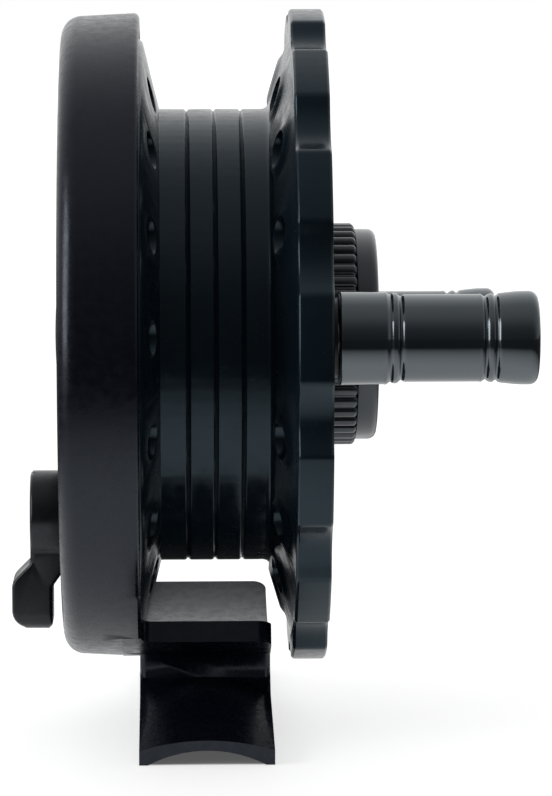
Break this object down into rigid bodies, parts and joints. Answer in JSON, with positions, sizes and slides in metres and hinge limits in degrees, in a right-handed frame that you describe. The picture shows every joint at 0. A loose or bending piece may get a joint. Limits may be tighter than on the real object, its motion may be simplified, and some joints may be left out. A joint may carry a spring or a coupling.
{
  "type": "drum fishing reel",
  "caption": "Small drum fishing reel: a cupped frame on a saddle foot carries a grooved spool with a scalloped rim, two winding handles, a drag knob and a click lever.",
  "frame": {"origin": "centre of the rod seat under the foot, in the plane of the foot's two lands", "axes": "+X along the spindle, out of the handle side; +Z from the foot up to the spool; Y along the foot, with the rod"},
  "size_m": [0.0621, 0.08, 0.0875],
  "materials": {
    "frame_plastic": "fine-textured moulded, charcoal",
    "spool_plastic": "satin moulded, blue-grey charcoal",
    "handle_plastic": "glossy moulded, charcoal",
    "knob_plastic": "satin moulded, charcoal",
    "lever_plastic": "smooth moulded, near black",
    "washer_plastic": "plain, black",
    "fibre": "pressed fibre",
    "steel": "turned, plain",
    "spring_steel": "rolled, plain",
    "brass": "turned, plain"
  },
  "bodies": {
    "frame": {"frame": "frame_plastic", "hub_cap": "frame_plastic", "spindle": "steel", "spindle_nut": "steel", "spindle_washer": "steel", "pressure_plate": "steel", "drag_spring": "spring_steel", "detent_spring": "spring_steel", "spring_screw": "steel"},
    "click_lever": {"click_lever": "lever_plastic", "click_pawl": "spring_steel", "pawl_screw": "steel"},
    "spool": {"spool": "spool_plastic", "ratchet_ring": "brass", "inner_bush": "brass", "outer_bush": "brass", "drag_washer": "fibre", "handle_screw_front": "steel", "handle_screw_rear": "steel", "handle_washer_front": "washer_plastic", "handle_washer_rear": "washer_plastic"},
    "handle_front": {"handle_front": "handle_plastic"},
    "handle_rear": {"handle_rear": "handle_plastic"},
    "drag_knob": {"drag_knob": "knob_plastic", "knob_cap": "knob_plastic", "knob_insert": "brass"}
  },
  "joints": [
    {"name": "spool_spin", "type": "hinge", "parent": "frame", "child": "spool", "pos_m": [0, 0, 0.0475], "axis": [1, 0, 0], "continuous": true},
    {"name": "handle_front_spin", "type": "hinge", "parent": "spool", "child": "handle_front", "pos_m": [0.0269, -0.03291, 0.04997], "axis": [1, 0, 0], "continuous": true},
    {"name": "handle_rear_spin", "type": "hinge", "parent": "spool", "child": "handle_rear", "pos_m": [0.0269, 0.03291, 0.04503], "axis": [1, 0, 0], "continuous": true},
    {"name": "drag_turn", "type": "hinge", "parent": "frame", "child": "drag_knob", "pos_m": [0.0166, 0, 0.0475], "axis": [1, 0, 0], "range_deg": [-120, 240]},
    {"name": "click_switch", "type": "hinge", "parent": "frame", "child": "click_lever", "pos_m": [-0.0194, 0, 0.02515], "axis": [1, 0, 0], "range_deg": [0, 35]}
  ]
}
